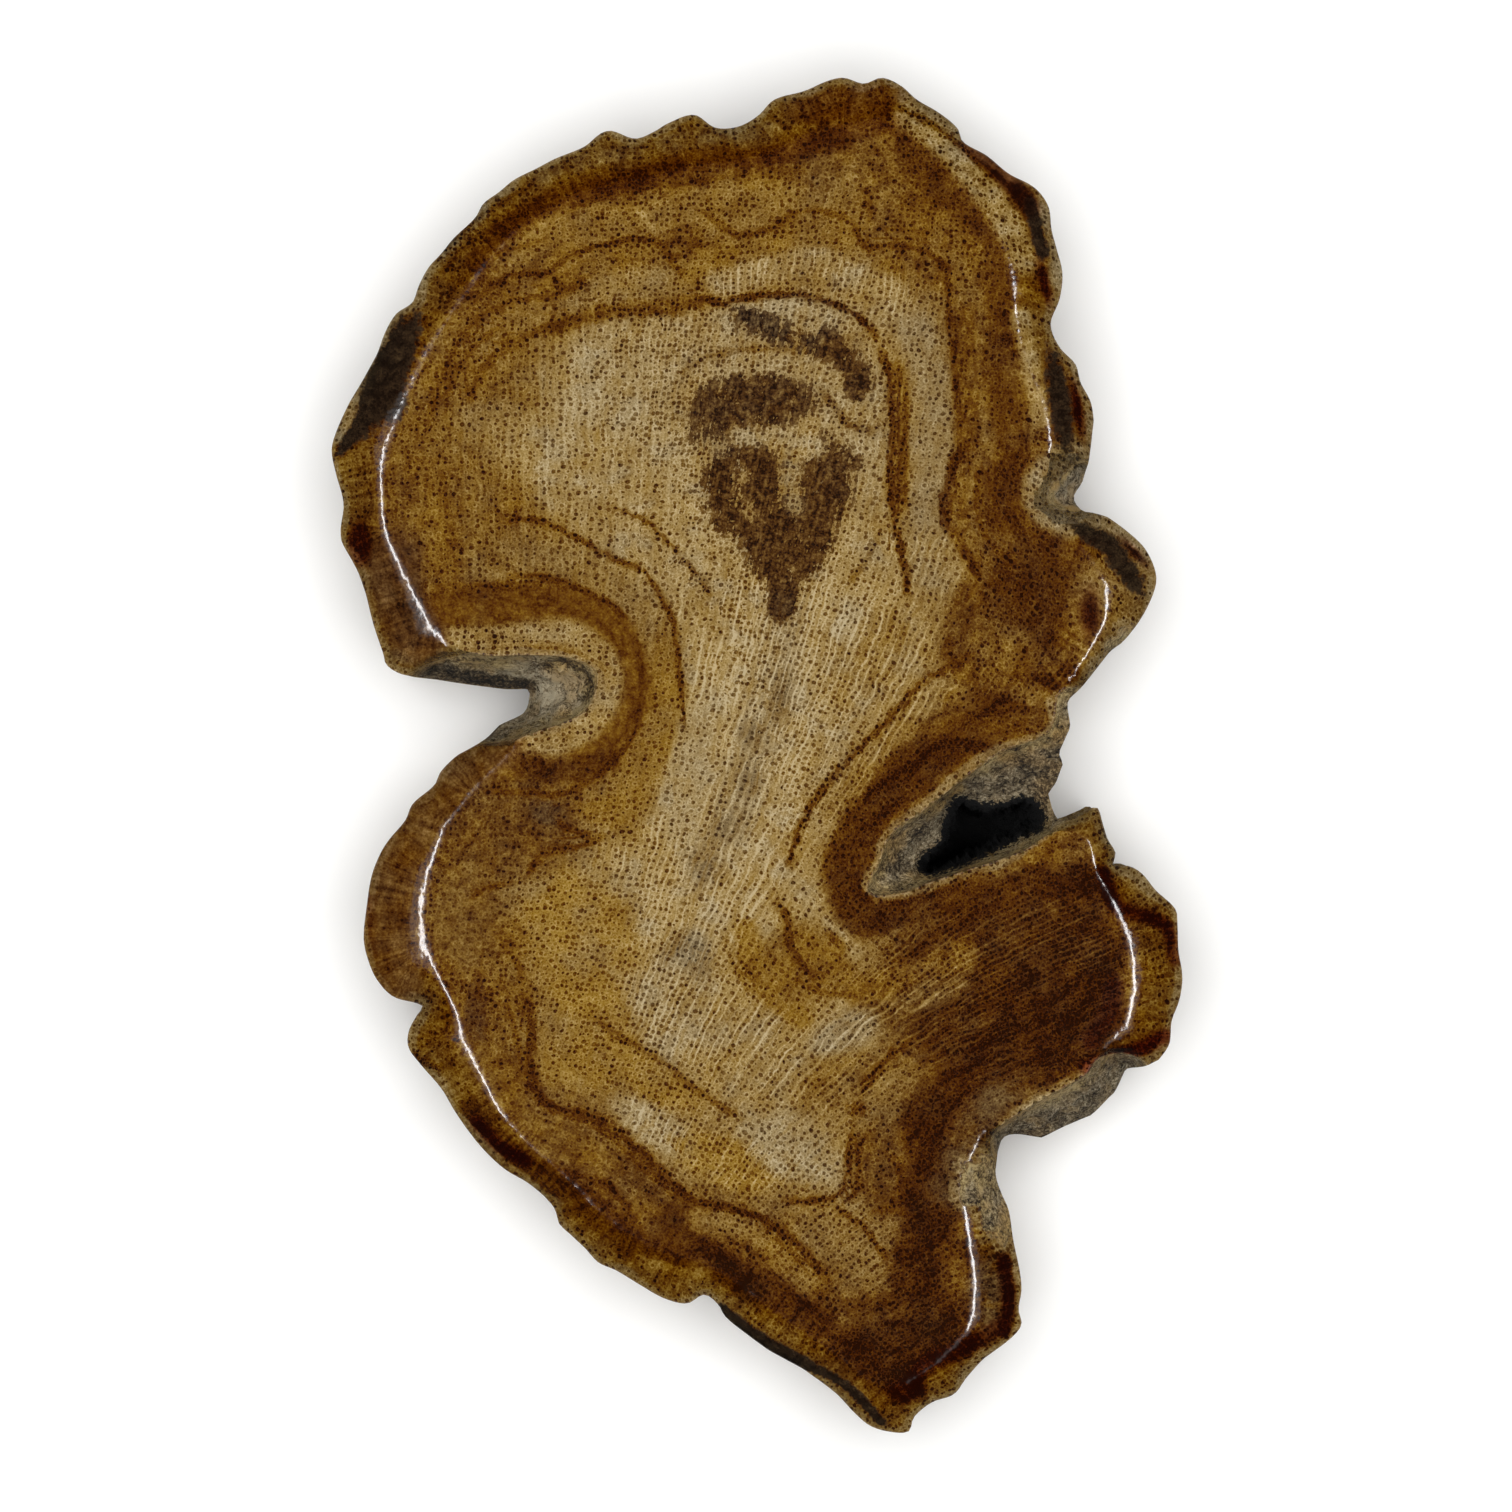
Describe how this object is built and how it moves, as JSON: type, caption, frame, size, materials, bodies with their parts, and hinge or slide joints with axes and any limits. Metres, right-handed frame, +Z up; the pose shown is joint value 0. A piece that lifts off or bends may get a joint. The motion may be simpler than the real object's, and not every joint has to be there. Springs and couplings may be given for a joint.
{
  "type": "petrified wood slice",
  "caption": "Thin slab of fossil wood with a polished upper face, rolled edge, bark-like rim, a deep fold on each side and a dark blind hollow.",
  "frame": {"origin": "under the middle of the outline, on the sawn back that the slice rests on", "axes": "+Z up out of the polished face, +Y along the length towards the end with the heartwood, +X towards the side with the hollow"},
  "size_m": [0.0722, 0.115, 0.018],
  "materials": {
    "petrified_wood": "polished face and rolled edge, rough grey-tan bark rind in the folds and on the sides, sawn matt back"
  },
  "bodies": {
    "root": {"petrified_wood_slice": "petrified_wood"}
  },
  "joints": []
}
